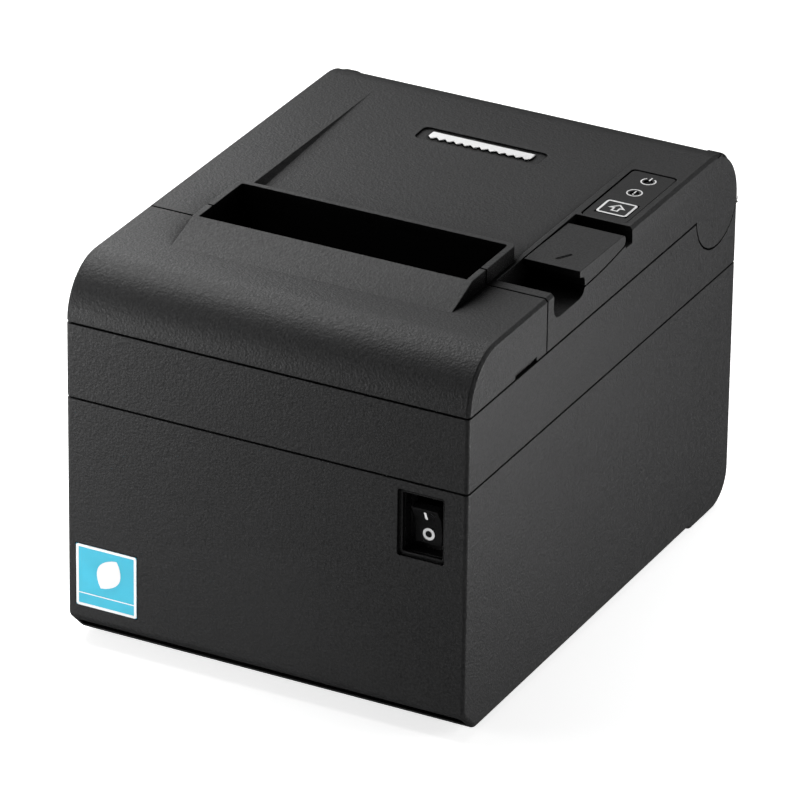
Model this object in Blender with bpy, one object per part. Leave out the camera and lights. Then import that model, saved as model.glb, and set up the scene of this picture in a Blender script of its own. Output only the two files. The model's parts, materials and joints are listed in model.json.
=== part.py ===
"""Desktop receipt printer with a tear-off slot, a lift-up cover and a thermal print mechanism.

Sizes are in millimetres. The function at() turns them into metres: x is measured from the
middle plane, y from the front face towards the rear, and z up from the surface it stands on.
"""

import math

import bmesh
import bpy
from mathutils import Matrix, Vector

MM = 0.001

# Outer size and the heights of the seams between the casings
WIDTH = 145.0
DEPTH = 196.5
CASE_BOTTOM = 2.0
LOWER_SEAM = 89.2
UPPER_SEAM = 115.8
TOP = 135.0
RIM_TOP = 140.3
SEAM_GAP = 0.6
WALL = 2.3
HALF = WIDTH / 2
INNER = HALF - WALL
TOUCH = 0.3

# Edges of the casings
CASE_ROUND = 1.5
COVER_CHAMFER = 1.1
COVER_FRONT_RADIUS = 19.0
COVER_REAR_RADIUS = 21.0
COVER_REAR_LIP = 114.3
FACET_DEPTH = 8.0
FACET_HEIGHT = 7.8
FACET_ROUND = 3.0
SKIRT_Y = (166.0, 168.0)
SKIRT_BOTTOM = 0.6
HEEL_RADIUS = 12.0

# Feet, case screws and board posts under the casing
FOOT_X = 58.0
FOOT_Y = (18.0, 152.0)
FOOT_RADIUS = 7.0
FOOT_HEIGHT = 3.2
SCREW_X = 60.0
SCREW_Y = 100.0
SCREW_RADIUS = 1.6
POST_RADIUS = 3.0
BOARD_POST_X = 54.0
BOARD_POST_Y = (64.0, 168.0)

# Paper slot and its raised rim
COVER_SEAM_Y = 54.0
SLOT_HALF = 48.3
SLOT_FRONT = 44.4
SLOT_REAR = 73.5
RIM_WALL = 2.2
RAMP_FOOT_Y = 30.4
NOTCH_Y = (31.9, 46.9)
TEAR_HALF = 40.0
TEAR_PITCH = 2.0
TEAR_Z = (131.0, 135.6, 136.6)
WELL_BOTTOM = 118.0
FRONT_WELL_BOTTOM = 124.5

# Cover hinge
HINGE_Y = 180.5
HINGE_Z = 117.5
EAR_RADIUS = 16.0
EAR_CLEARANCE = 0.5
EAR_INNER_X = 66.3
EAR_STEP_X = 70.0
EAR_STEP_Y = 183.4
EAR_STEP = 0.8
HINGE_PIN_RADIUS = 2.5
POST_X = (57.0, 65.6)
COVER_REAR_Y = 192.0

# Control panel, finger pocket and opening lever on the right of the cover
POCKET_X = 52.0
POCKET_FRONT = 58.5
POCKET_FLOOR = 125.3
LEVER_FRONT = 77.0
LEVER_PIVOT_Y = 108.3
LEVER_PIVOT_Z = 132.5
LEVER_TAIL_RADIUS = 2.0
LEVER_GAP_REAR = 115.2
LEVER_NOSE_Y = 80.5
LATCH_Y = 80.0
LATCH_Z = 118.5
LATCH_RADIUS = 2.0
HOOK_X = (45.0, 46.8)
PANEL_LOW = (53.2, 116.5)
PANEL_HIGH = (69.0, 155.5)
PANEL_TOP = TOP - 0.3
KEY_LOW = (56.0, 120.9)
KEY_HIGH = (67.0, 130.9)
ALERT_LIGHT = (61.3, 139.4)
POWER_LIGHT = (61.5, 149.4)

# Shallow dip in the top of the cover
DIP_FRONT_Y = 76.0
DIP_REAR_Y = 161.0
DIP_DEPTH = 2.5
DIP_HALF = 50.5

# Mark in the dip
BADGE_X = 0.6
BADGE_Y = 148.5
BADGE_HALF = 19.0
BADGE_TEETH = 12

# Paper roll
ROLL_Y = 132.0
ROLL_Z = 84.0
BAY_RADIUS = 43.0
BAY_HALF = 41.8
BAY_WALL = 2.0
LINER_RADIUS = (43.2, 44.2)

# Platen roller and its gear train, all turning about X
GEAR_MODULE = 1.0
GEAR_X = (-48.0, -45.6)
PLATE_X = (43.3, 44.5)
BRACKET_X = (41.1, 42.3)
PLATEN_Y = 55.5
PLATEN_Z = 113.5
PLATEN_RADIUS = 6.0
SHAFT_RADIUS = 2.5
PLATEN_TEETH = 20
IDLER_TEETH = 26
MOTOR_TEETH = 12
MOTOR_ANGLE = math.radians(-56.5)
MOTOR_RADIUS = 17.5
PLATE_TOP = 116.0
PLATE_FOOT = 96.0
PLATE_Y = (12.0, 84.5)

# Thermal head, hinged at its foot
HEAD_HALF = 41.0
HEAD_TOP = 115.8
HEAD_PIVOT = (46.5, 98.0)

# Cutter: a blade on a rack, driven by an upright pinion with a thumb wheel
BLADE_Z = (120.4, 121.4)
PINION_X = -59.0
PINION_Y = 26.0
PINION_TEETH = 16
PINION_MODULE = 0.8

# Power switch: shallow recess and window in the front wall, with the rocker set back in it
SWITCH_RECESS_X = (47.8, 64.3)
SWITCH_RECESS_Z = (62.45, 85.85)
SWITCH_RECESS = 1.0
SWITCH_X = (49.2, 63.4)
SWITCH_Z = (63.8, 84.6)
SWITCH_MIDDLE = ((SWITCH_X[0] + SWITCH_X[1]) / 2, (SWITCH_Z[0] + SWITCH_Z[1]) / 2)
SWITCH_RIM = 1.2
SWITCH_FACE_Y = 6.9
SWITCH_REAR_Y = 25.0
ROCKER_Y = 9.9
ROCKER_TILT = math.radians(13.25)
ROCKER_SLOPE = math.radians(12.25)
ROCKER_FACE = 7.1
ROCKER_REACH = 5.0
ROCKER_HALF = 4.75
ROCKER_WELL = (5.1, 8.9)

# Square label in a shallow recess low on the front
LABEL_X = (-69.2, -46.8)
LABEL_Z = (14.6, 37.0)
LABEL_THICKNESS = 0.15
LABEL_GAP = 0.15

# Connector window in the rear wall
PORTS_X = (-60.0, 60.0)
PORTS_Z = (12.0, 33.0)
BOARD_Z = (12.0, 13.6)

COLOURS = {
    "black_plastic": ((0.028, 0.028, 0.029), 0.62, 0.0),
    "inner_plastic": ((0.020, 0.020, 0.021), 0.70, 0.0),
    "panel_film": ((0.012, 0.012, 0.013), 0.45, 0.0),
    "rubber": ((0.015, 0.015, 0.015), 0.85, 0.0),
    "platen_rubber": ((0.030, 0.030, 0.032), 0.75, 0.0),
    "steel": ((0.56, 0.57, 0.58), 0.35, 1.0),
    "blade_steel": ((0.70, 0.71, 0.72), 0.22, 1.0),
    "aluminium": ((0.72, 0.73, 0.74), 0.38, 1.0),
    "brass": ((0.72, 0.53, 0.24), 0.30, 1.0),
    "gear_plastic": ((0.80, 0.78, 0.72), 0.45, 0.0),
    "circuit_board": ((0.02, 0.14, 0.06), 0.40, 0.0),
    "ceramic": ((0.75, 0.73, 0.66), 0.30, 0.0),
    "white_mark": ((0.82, 0.82, 0.82), 0.45, 0.0),
    "label_blue": ((0.05, 0.49, 0.67), 0.40, 0.0),
    "clear_plastic": ((0.75, 0.80, 0.78), 0.15, 0.0),
}

PARTS = "receipt_printer"
CUTTERS = "cutters"


# ---------------------------------------------------------------- helpers

def at(x, y, z):
    """Point in metres from millimetres measured from the middle, front face and ground."""
    return Vector((x * MM, (y - DEPTH / 2) * MM, z * MM))


def clear_scene():
    for old in list(bpy.data.objects):
        bpy.data.objects.remove(old, do_unlink=True)


def collection(name):
    found = bpy.data.collections.get(name)
    if found is None:
        found = bpy.data.collections.new(name)
        bpy.context.scene.collection.children.link(found)
    return found


def material(name):
    found = bpy.data.materials.get(name)
    if found is not None:
        return found
    colour, roughness, metallic = COLOURS[name]
    made = bpy.data.materials.new(name)
    made.use_nodes = True
    made.diffuse_color = (*colour, 1.0)
    shader = made.node_tree.nodes["Principled BSDF"]
    shader.inputs["Base Color"].default_value = (*colour, 1.0)
    shader.inputs["Roughness"].default_value = roughness
    shader.inputs["Metallic"].default_value = metallic
    return made


def add(name, bm, finish=None):
    """Make an object from a bmesh: a part when it has a finish, otherwise a cutter."""
    bmesh.ops.recalc_face_normals(bm, faces=bm.faces)
    mesh = bpy.data.meshes.new(name)
    bm.to_mesh(mesh)
    bm.free()
    made = bpy.data.objects.new(name, mesh)
    if finish is None:
        collection(CUTTERS).objects.link(made)
        made.display_type = "WIRE"
        made.hide_render = True
        return made
    mesh.materials.append(material(finish))
    collection(PARTS).objects.link(made)
    return made


def box_mesh(low, high):
    """Closed box between two corners given in millimetres."""
    bm = bmesh.new()
    bmesh.ops.create_cube(bm, size=1.0)
    first, last = at(*low), at(*high)
    for corner in bm.verts:
        for axis in range(3):
            corner.co[axis] = last[axis] if corner.co[axis] > 0 else first[axis]
    return bm


def bevel(bm, chosen, radius, segments=3):
    """Round the chosen edges to a radius in millimetres."""
    edges = [edge for edge in bm.edges if chosen(edge)]
    bmesh.ops.bevel(
        bm,
        geom=edges,
        offset=radius * MM,
        segments=segments,
        profile=0.5,
        affect="EDGES",
        clamp_overlap=True,
    )
    bmesh.ops.connect_verts_nonplanar(bm, angle_limit=0.0005, faces=bm.faces)
    return bm


def along(axis):
    """Chooser for the straight edges that run along one axis."""
    def chosen(edge):
        run = edge.verts[1].co - edge.verts[0].co
        return abs(run[axis]) > 0.999 * run.length
    return chosen


def box(name, low, high, finish=None, axis=None, radius=0.0, segments=3):
    """Box, with the edges along one axis rounded when an axis is given."""
    bm = box_mesh(low, high)
    if axis is not None:
        bevel(bm, along(axis), radius, segments)
    return add(name, bm, finish)


def cylinder_mesh(centre, radius, length, axis=2, segments=32):
    """Closed cylinder whose middle is at a point in millimetres."""
    bm = bmesh.new()
    turn = {0: Matrix.Rotation(math.pi / 2, 4, "Y"), 1: Matrix.Rotation(-math.pi / 2, 4, "X"),
            2: Matrix.Identity(4)}[axis]
    bmesh.ops.create_cone(
        bm,
        cap_ends=True,
        segments=segments,
        radius1=radius * MM,
        radius2=radius * MM,
        depth=length * MM,
        matrix=Matrix.Translation(at(*centre)) @ turn,
    )
    return bm


def rod(name, centre, radius, length, axis, finish=None, segments=32):
    return add(name, cylinder_mesh(centre, radius, length, axis, segments), finish)


def arc(centre, radius, start, end, steps):
    """Points on an arc between two angles in degrees."""
    angles = [math.radians(start + (end - start) * step / steps) for step in range(steps + 1)]
    return [(centre[0] + radius * math.cos(a), centre[1] + radius * math.sin(a)) for a in angles]


def outline_mesh(points, thickness):
    """Flat outline filled and extruded to a closed mesh, centred on its own plane."""
    curve = bpy.data.curves.new("outline", "CURVE")
    curve.dimensions = "2D"
    curve.fill_mode = "BOTH"
    curve.extrude = thickness / 2 * MM
    spline = curve.splines.new("POLY")
    spline.points.add(len(points) - 1)
    for slot, (u, v) in zip(spline.points, points):
        slot.co = (u * MM, v * MM, 0.0, 1.0)
    spline.use_cyclic_u = True
    holder = bpy.data.objects.new("outline", curve)
    bpy.context.scene.collection.objects.link(holder)
    bpy.context.view_layer.update()
    depsgraph = bpy.context.evaluated_depsgraph_get()
    mesh = bpy.data.meshes.new_from_object(holder.evaluated_get(depsgraph))
    bpy.data.objects.remove(holder)
    bpy.data.curves.remove(curve)
    bm = bmesh.new()
    bm.from_mesh(mesh)
    bpy.data.meshes.remove(mesh)
    bmesh.ops.remove_doubles(bm, verts=bm.verts, dist=1e-6)
    bmesh.ops.dissolve_limit(bm, angle_limit=0.001, verts=bm.verts, edges=bm.edges)
    return bm


def side_mesh(points, x_low, x_high):
    """Outline of (y, z) points seen from the side, extruded from x_low to x_high."""
    bm = outline_mesh(points, x_high - x_low)
    upright = Matrix(((0, 0, 1, 0), (1, 0, 0, 0), (0, 1, 0, 0), (0, 0, 0, 1)))
    place = Matrix.Translation(at((x_low + x_high) / 2, 0.0, 0.0))
    bmesh.ops.transform(bm, matrix=place @ upright, verts=bm.verts)
    return bm


def plan_mesh(points, z_low, z_high):
    """Outline of (x, y) points seen from above, extruded from z_low to z_high."""
    bm = outline_mesh(points, z_high - z_low)
    place = Matrix.Translation(at(0.0, 0.0, (z_low + z_high) / 2))
    bmesh.ops.transform(bm, matrix=place, verts=bm.verts)
    return bm


def side(name, points, x_low, x_high, finish=None):
    return add(name, side_mesh(points, x_low, x_high), finish)


def plan(name, points, z_low, z_high, finish=None):
    return add(name, plan_mesh(points, z_low, z_high), finish)


def boolean(target, tool, operation):
    step = target.modifiers.new(tool.name, "BOOLEAN")
    step.operation = operation
    step.solver = "EXACT"
    step.object = tool


def cut(target, *tools):
    for tool in tools:
        boolean(target, tool, "DIFFERENCE")


def join(target, *tools):
    for tool in tools:
        boolean(target, tool, "UNION")


def smooth(target, angle=35.0):
    target.data.shade_smooth()
    target.data.set_sharp_from_angle(angle=math.radians(angle))
    return target


def inset(points, depths):
    """Outline whose edges are moved inwards, each by its own depth."""
    loop = [Vector(point) for point in points]
    following = loop[1:] + loop[:1]
    area = sum(a.x * b.y - b.x * a.y for a, b in zip(loop, following))
    turn = math.copysign(1.0, area)
    runs = [(b - a).normalized() for a, b in zip(loop, following)]
    starts = [a + turn * depth * Vector((-run.y, run.x)) for a, run, depth in zip(loop, runs, depths)]
    moved = []
    for index, run in enumerate(runs):
        before = runs[index - 1]
        gap = starts[index] - starts[index - 1]
        along_before = (gap.x * run.y - gap.y * run.x) / (before.x * run.y - before.y * run.x)
        moved.append(starts[index - 1] + along_before * before)
    return moved


def shell_mesh(points, rounded, radius, segments):
    """Outline of (y, z) points over the full width; the edges in rounded turn into both sides."""
    turns = [math.pi / 2 * step / segments for step in range(segments + 1)]
    profile = [(HALF - radius * (1 - math.cos(t)), radius * (1 - math.sin(t))) for t in turns]
    levels = [(-x, depth) for x, depth in profile] + list(reversed(profile))
    bm = bmesh.new()
    rings = []
    for x, depth in levels:
        depths = [depth if index in rounded else 0.0 for index in range(len(points))]
        rings.append([bm.verts.new(at(x, y, z)) for y, z in inset(points, depths)])
    for ring, other in zip(rings, rings[1:]):
        for index in range(len(points)):
            bm.faces.new((ring[index - 1], ring[index], other[index], other[index - 1]))
    bm.faces.new(rings[0])
    bm.faces.new(rings[-1])
    return bm


def gear_outline(teeth, module, phase=0.0):
    """Outline of a spur gear with slightly thin teeth, so that it meshes with backlash."""
    pitch = teeth * module / 2
    inner, outer = pitch - 1.25 * module, pitch + 0.85 * module
    step = 2 * math.pi / teeth
    points = []
    for tooth in range(teeth):
        middle = phase + tooth * step
        for radius, share in ((inner, -0.27), (pitch, -0.205), (outer, -0.10),
                              (outer, 0.10), (pitch, 0.205), (inner, 0.27)):
            angle = middle + share * step
            points.append((radius * math.cos(angle), radius * math.sin(angle)))
    return points


def shifted(points, u, v):
    return [(p + u, q + v) for p, q in points]


# ---------------------------------------------------------------- casings

def lower_case():
    """Bottom tray with the power switch window, connector window and board posts."""
    top = LOWER_SEAM - SEAM_GAP / 2
    tangent = FACET_ROUND * math.tan(math.radians(22.5))
    upper = (FACET_ROUND, CASE_BOTTOM + FACET_HEIGHT + tangent)
    lower = (FACET_DEPTH + tangent, CASE_BOTTOM + FACET_ROUND)
    points = [(0.0, top)]
    points += arc(upper, FACET_ROUND, 180, 225, 3)
    points += arc(lower, FACET_ROUND, 225, 270, 3)
    points += [(SKIRT_Y[0], CASE_BOTTOM), (SKIRT_Y[1], SKIRT_BOTTOM)]
    points += arc((DEPTH - HEEL_RADIUS, SKIRT_BOTTOM + HEEL_RADIUS), HEEL_RADIUS, 270, 360, 8)
    points += [(DEPTH, top)]
    bm = shell_mesh(points, range(len(points) - 1), CASE_ROUND, 3)
    case = add("lower_case", bm, "black_plastic")
    inside = (WALL, DEPTH - WALL)
    cut(case, box("case_hollow", (-INNER, inside[0], CASE_BOTTOM + WALL),
                  (INNER, inside[1], 120), axis=2, radius=1.5))
    for x in (-BOARD_POST_X, BOARD_POST_X):
        for y in BOARD_POST_Y:
            join(case, rod(f"board_post_{x:.0f}_{y:.0f}", (x, y, 7.6), POST_RADIUS, 8.1, 2, segments=16))
    cut(case, box("switch_window", (SWITCH_X[0], -1, SWITCH_Z[0]), (SWITCH_X[1], 6, SWITCH_Z[1]),
                  axis=1, radius=0.4, segments=2))
    cut(case, box("switch_recess", (SWITCH_RECESS_X[0], -1, SWITCH_RECESS_Z[0]),
                  (SWITCH_RECESS_X[1], SWITCH_RECESS, SWITCH_RECESS_Z[1]), axis=1, radius=0.6, segments=2))
    cut(case, box("port_window", (PORTS_X[0], 188, PORTS_Z[0]), (PORTS_X[1], 200, PORTS_Z[1]),
                  axis=1, radius=1.5))
    cut(case, box("label_recess", (LABEL_X[0] - LABEL_GAP, -1, LABEL_Z[0] - LABEL_GAP),
                  (LABEL_X[1] + LABEL_GAP, LABEL_THICKNESS + TOUCH, LABEL_Z[1] + LABEL_GAP)))
    for x, y in foot_places():
        cut(case, rod(f"foot_recess_{x:.0f}_{y:.0f}", (x, y, 2.2), FOOT_RADIUS + 0.5, FOOT_HEIGHT, 2,
                      segments=28))
    for x in (-SCREW_X, SCREW_X):
        cut(case, rod(f"screw_hole_{x:.0f}", (x, SCREW_Y, 3.0), SCREW_RADIUS + 0.4, 6.0, 2, segments=16))
    return smooth(case)


def foot_places():
    return [(x, y) for x in (-FOOT_X, FOOT_X) for y in FOOT_Y]


def feet():
    for (x, y), name in zip(foot_places(), ("front_left", "rear_left", "front_right", "rear_right")):
        bm = cylinder_mesh((x, y, FOOT_HEIGHT / 2), FOOT_RADIUS, FOOT_HEIGHT, segments=28)
        floor = at(0, 0, 0.0).z
        bevel(bm, lambda e: all(abs(v.co.z - floor) < 1e-7 for v in e.verts), 0.6, 2)
        smooth(add(f"rubber_foot_{name}", bm, "rubber"))


def bottom_screws():
    for x, name in ((-SCREW_X, "left"), (SCREW_X, "right")):
        screw = rod(f"case_screw_{name}", (x, SCREW_Y, 4.2), SCREW_RADIUS, 5.4, 2, "steel", segments=16)
        cut(screw, box(f"screw_slot_{name}", (x - 3, SCREW_Y - 0.3, 1.0), (x + 3, SCREW_Y + 0.3, 2.2)))


def ear_outline(radius, steps):
    """Part of the clearance circle round the hinge, from the rear face to the seam."""
    seam = UPPER_SEAM - SEAM_GAP / 2
    first = math.degrees(math.asin((seam - HINGE_Z) / radius))
    last = math.degrees(math.acos((DEPTH - HINGE_Y) / radius))
    return arc((HINGE_Y, HINGE_Z), radius, -last, -180 - first, steps)


def mid_housing():
    """Ring between the case and the covers, with posts that hold the hinge pins."""
    low, high = LOWER_SEAM + SEAM_GAP / 2, UPPER_SEAM - SEAM_GAP / 2
    clear = EAR_RADIUS + EAR_CLEARANCE
    points = [(0.0, high), (0.0, low), (DEPTH, low)]
    points += ear_outline(clear, 20)
    front_and_rear = (0, 2)
    bm = shell_mesh(points, front_and_rear, CASE_ROUND, 3)
    ring = add("mid_housing", bm, "black_plastic")
    cut(ring, box("ring_hollow", (-INNER, WALL, low - 5), (INNER, DEPTH - WALL, high + 20),
                  axis=2, radius=1.5))
    for sign, name in ((-1, "left"), (1, "right")):
        inner, outer = sorted((sign * POST_X[0], sign * POST_X[1]))
        arm = arc((HINGE_Y, HINGE_Z), 6.0, -10, 135, 10) + [(155.0, 106.0), (155.0, 96.0), (162.0, 96.0)]
        post = side(f"hinge_post_{name}", arm, inner, outer)
        tie_inner, tie_outer = sorted((sign * 60.0, sign * 71.0))
        tie = box(f"hinge_tie_{name}", (tie_inner, 155.5, 96.5), (tie_outer, 160.5, 105.0))
        join(ring, tie, post)
        bore = rod(f"post_bore_{name}", (sign * 61.0, HINGE_Y, HINGE_Z), HINGE_PIN_RADIUS + TOUCH,
                   16.0, 0, segments=24)
        cut(ring, bore)
    return smooth(ring)


def hinge_pins():
    for sign, name in ((-1, "left"), (1, "right")):
        pin = rod(f"hinge_pin_{name}", (sign * 63.9, HINGE_Y, HINGE_Z), HINGE_PIN_RADIUS, 13.0, 0,
                  "steel", segments=24)
        smooth(pin)


def front_cover():
    """Curved cover over the cutter, with a ramp up to the front edge of the paper slot."""
    low, rear = UPPER_SEAM + SEAM_GAP / 2, COVER_SEAM_Y - SEAM_GAP / 2
    radius = COVER_FRONT_RADIUS
    crown = (radius, TOP - radius)
    start = 180 - math.degrees(math.asin((low - crown[1]) / radius))
    shape = [(rear, TOP), (rear, low)] + arc(crown, radius, start, 90, 16)
    bm = shell_mesh(shape, range(2, len(shape)), COVER_CHAMFER, 1)
    cover = add("front_cover", bm, "black_plastic")
    inside = [(rear - WALL, TOP - WALL), (rear - WALL, 110.0), (WALL, 110.0)]
    inside += arc(crown, radius - WALL, 180, 90, 10)
    cut(cover, side("front_hollow", inside, -INNER, INNER))
    cut(cover, box("rear_relief", (-INNER, 40.0, 105.0), (INNER, 60.0, 128.0)))
    arm_end = rear - 0.05
    ramp = [(RAMP_FOOT_Y, TOP), (SLOT_FRONT, RIM_TOP), (arm_end, RIM_TOP), (arm_end, FRONT_WELL_BOTTOM),
            (SLOT_FRONT - RIM_WALL, FRONT_WELL_BOTTOM), (SLOT_FRONT - RIM_WALL, TOP - 1.0),
            (RAMP_FOOT_Y, TOP - 1.0)]
    join(cover, side("slot_ramp", ramp, -SLOT_HALF - RIM_WALL, SLOT_HALF + RIM_WALL))
    cut(cover, box("front_well", (-SLOT_HALF, SLOT_FRONT, 105.0), (SLOT_HALF, 60.0, 145.0)))
    cut(cover, box("pry_notch", (HALF - 0.9, NOTCH_Y[0], 110.0), (HALF + 2.0, NOTCH_Y[1], low + 1.5)))
    return smooth(cover)


def tear_bar():
    """Serrated steel strip on the front edge of the slot."""
    foot, valley, tip = TEAR_Z
    points = [(TEAR_HALF, foot), (-TEAR_HALF, foot)]
    for index in range(int(2 * TEAR_HALF / TEAR_PITCH)):
        left = -TEAR_HALF + index * TEAR_PITCH
        points += [(left, valley), (left + TEAR_PITCH / 2, tip)]
    points.append((TEAR_HALF, valley))
    bm = outline_mesh(points, 0.6)
    upright = Matrix.Rotation(math.pi / 2, 4, "X")
    place = Matrix.Translation(at(0.0, SLOT_FRONT + TOUCH + 0.3, 0.0))
    bmesh.ops.transform(bm, matrix=place @ upright, verts=bm.verts)
    add("tear_bar", bm, "blade_steel")


def well_box(low_z, front_y):
    """Outer walls of the paper slot in the top cover, with rounded rear corners."""
    reach = SLOT_HALF + RIM_WALL
    bm = box_mesh((-reach, front_y, low_z), (reach, SLOT_REAR + RIM_WALL, RIM_TOP))
    rear = at(0, SLOT_REAR, 0).y

    def corner(edge):
        return along(2)(edge) and edge.verts[0].co.y > rear
    bevel(bm, corner, 2.5, 3)
    return add("well_walls", bm)


def cover_dip():
    """Sunk panel that fades out towards the hinge, with sloped sides."""
    front = 70.0
    slope = DIP_DEPTH / (DIP_REAR_Y - DIP_FRONT_Y)
    bm = box_mesh((-1, front, 0), (1, DIP_REAR_Y, 1))
    for corner in bm.verts:
        y = front if corner.co.y < at(0, 100, 0).y else DIP_REAR_Y
        sink = (DIP_REAR_Y - y) * slope
        upper = corner.co.z > 0.5 * MM
        height = TOP + 2.0 if upper else TOP - sink
        half = DIP_HALF + 2.0 if upper else DIP_HALF - sink
        corner.co = at(math.copysign(half, corner.co.x), y, height)
    return add("cover_dip", bm)


def lever_underside(offset):
    """Shallow curve of points under the opening lever, front to rear."""
    low, high = 128.4 + offset, 130.5 + offset
    span = LEVER_PIVOT_Y - LEVER_NOSE_Y
    return [(LEVER_NOSE_Y + span * t, low + (high - low) * t * t) for t in (0, 0.25, 0.5, 0.75, 1.0)]


def top_cover():
    """Lift-up cover over the paper roll, with the rear of the slot and the lever pocket."""
    low, front = UPPER_SEAM + SEAM_GAP / 2, COVER_SEAM_Y + SEAM_GAP / 2
    radius, lip = COVER_REAR_RADIUS, COVER_REAR_LIP
    crown = (DEPTH - radius, TOP - radius)
    end = math.degrees(math.asin((lip - crown[1]) / radius))
    curve = arc(crown, radius, end, 90, 14)
    shape = curve + [(front, TOP), (front, low), (COVER_REAR_Y, low), (COVER_REAR_Y, lip)]
    bm = shell_mesh(shape, range(len(curve)), COVER_CHAMFER, 1)
    cover = add("top_cover", bm, "black_plastic")
    cut(cover, box("cover_hollow", (-INNER, front + WALL, 110), (INNER, 163, 129.8)))
    back = arc(crown, radius - WALL, 0, 52, 8)
    back += [(162.0, 129.8), (162.0, 100.0), (DEPTH - WALL, 100.0)]
    cut(cover, side("cover_rear_hollow", back, -66.0, 66.0))
    for sign, name in ((-1, "left"), (1, "right")):
        inner, outer = sorted((sign * EAR_INNER_X, sign * HALF))
        middle = ((inner + outer) / 2, HINGE_Y, HINGE_Z)
        join(cover, rod(f"ear_{name}", middle, EAR_RADIUS, outer - inner, 0, segments=48))
        cut(cover, rod(f"ear_bore_{name}", (sign * 66.5, HINGE_Y, HINGE_Z),
                       HINGE_PIN_RADIUS + TOUCH, 8.6, 0, segments=24))
        cut(cover, ear_step(name, sign, crown))
    cut(cover, box("gear_relief", (-INNER, 50.0, 105.0), (51.0, 57.5, 126.0)))
    cut(cover, cover_dip())
    join(cover, well_box(WELL_BOTTOM, front))
    join(cover, box("pocket_block", (POCKET_X - 2.0, front + 0.5, 122.6), (INNER + 0.5, 117.5, 131.0)))
    cut(cover, box("cover_well", (-SLOT_HALF, 50, 100), (SLOT_HALF, SLOT_REAR, 145),
                   axis=2, radius=1.0))
    cut(cover, box("finger_pocket", (POCKET_X, POCKET_FRONT, POCKET_FLOOR), (HALF + 9, 81, 160),
                   axis=0, radius=4.0))
    bay = [(75.0, 128.0)] + lever_underside(-0.4)
    bay += [(110.6, 130.1), (110.6, 129.3), (LEVER_GAP_REAR, 129.3), (LEVER_GAP_REAR, 150),
            (75.0, 150.0)]
    cut(cover, side("lever_bay", bay, POCKET_X, HALF + 5))
    cut(cover, box("panel_recess", (PANEL_LOW[0] - TOUCH, PANEL_LOW[1] - TOUCH, PANEL_TOP - 0.7),
                   (PANEL_HIGH[0] + TOUCH, PANEL_HIGH[1] + TOUCH, 150), axis=2, radius=1.5))
    cut(cover, box("key_hole", (KEY_LOW[0] - TOUCH, KEY_LOW[1] - TOUCH, 120),
                   (KEY_HIGH[0] + TOUCH, KEY_HIGH[1] + TOUCH, 150)))
    for name, (x, y) in (("alert", ALERT_LIGHT), ("power", POWER_LIGHT)):
        cut(cover, rod(f"{name}_light_hole", (x, y, 132.0), 1.5, 12.0, 2, segments=16))
    cut(cover, badge_recess())
    return smooth(cover)


def ear_step(name, sign, crown):
    """Tool that sets the outer end of the rear curve back a little over the hinge ear."""
    radius = COVER_REAR_RADIUS - EAR_STEP
    steepest = math.degrees(math.acos((EAR_STEP_Y - crown[0]) / radius))
    points = arc(crown, radius, 0, steepest, 12)
    points += [(EAR_STEP_Y, TOP + 8), (DEPTH + 8, TOP + 8), (DEPTH + 8, HINGE_Z - 8),
               (crown[0] + radius, HINGE_Z - 8)]
    inner, outer = sorted((sign * EAR_STEP_X, sign * (HALF + 2)))
    return side(f"ear_step_{name}", points, inner, outer)


def tilt_of_dip(y):
    """Height of the sunk surface at y, and its small slope."""
    slope = DIP_DEPTH / (DIP_REAR_Y - DIP_FRONT_Y)
    return TOP - (DIP_REAR_Y - y) * slope, math.atan(slope)


def badge_recess():
    height, tilt = tilt_of_dip(BADGE_Y)
    half_x, half_y = BADGE_HALF + 4.0, 4.5
    tool = box("badge_recess", (-half_x, DEPTH / 2 - half_y, -0.7), (half_x, DEPTH / 2 + half_y, 3.0),
               axis=2, radius=2.0)
    tool.location = at(BADGE_X, BADGE_Y, height)
    tool.rotation_euler = (tilt, 0, 0)
    return tool


def top_badge():
    """Plain mark on the cover: a torn strip of paper with a zigzag lower edge."""
    height, tilt = tilt_of_dip(BADGE_Y)
    pitch = 2 * BADGE_HALF / BADGE_TEETH
    points = [(BADGE_HALF, 2.2), (-BADGE_HALF, 2.2)]
    for index in range(BADGE_TEETH):
        left = -BADGE_HALF + index * pitch
        points += [(left, -1.2), (left + pitch / 2, -2.6)]
    points.append((BADGE_HALF, -1.2))
    bm = outline_mesh(points, 0.3)
    badge = add("top_badge", bm, "white_mark")
    badge.location = at(BADGE_X, BADGE_Y, height - 0.2)
    badge.rotation_euler = (tilt, 0, 0)


def cover_liner():
    """Inner panel under the cover, arched over the paper roll."""
    outer = arc((ROLL_Y, ROLL_Z), LINER_RADIUS[1], 62, 118, 14)
    inner = arc((ROLL_Y, ROLL_Z), LINER_RADIUS[0], 118, 62, 14)
    panel = side("cover_liner", outer + inner, -46.0, 46.0, "inner_plastic")
    smooth(panel)


# ---------------------------------------------------------------- controls

def open_lever():
    """Lever that is pulled up to open the cover; its tail is round about its own pivot."""
    tail = arc((LEVER_PIVOT_Y, LEVER_PIVOT_Z), LEVER_TAIL_RADIUS, -90, 90, 6)
    points = lever_underside(0.0)[:-1] + tail
    points += [(LEVER_FRONT, TOP), (LEVER_FRONT, 132.6), (79.6, 131.8), (LEVER_NOSE_Y, 130.6)]
    bm = side_mesh(points, POCKET_X + TOUCH, HALF)

    def edge_of_top(edge):
        return along(1)(edge) and all(
            v.co.z > (TOP - 0.01) * MM and v.co.x > (HALF - 0.01) * MM for v in edge.verts)
    bevel(bm, edge_of_top, COVER_CHAMFER, 1)
    lever = add("open_lever", bm, "black_plastic")
    mark = plan("lever_mark", [(61.0, 82.2), (62.0, 82.0), (64.6, 87.2), (63.9, 87.4)], TOP - 0.3, TOP + 1)
    cut(lever, mark)
    smooth(lever)


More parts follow.
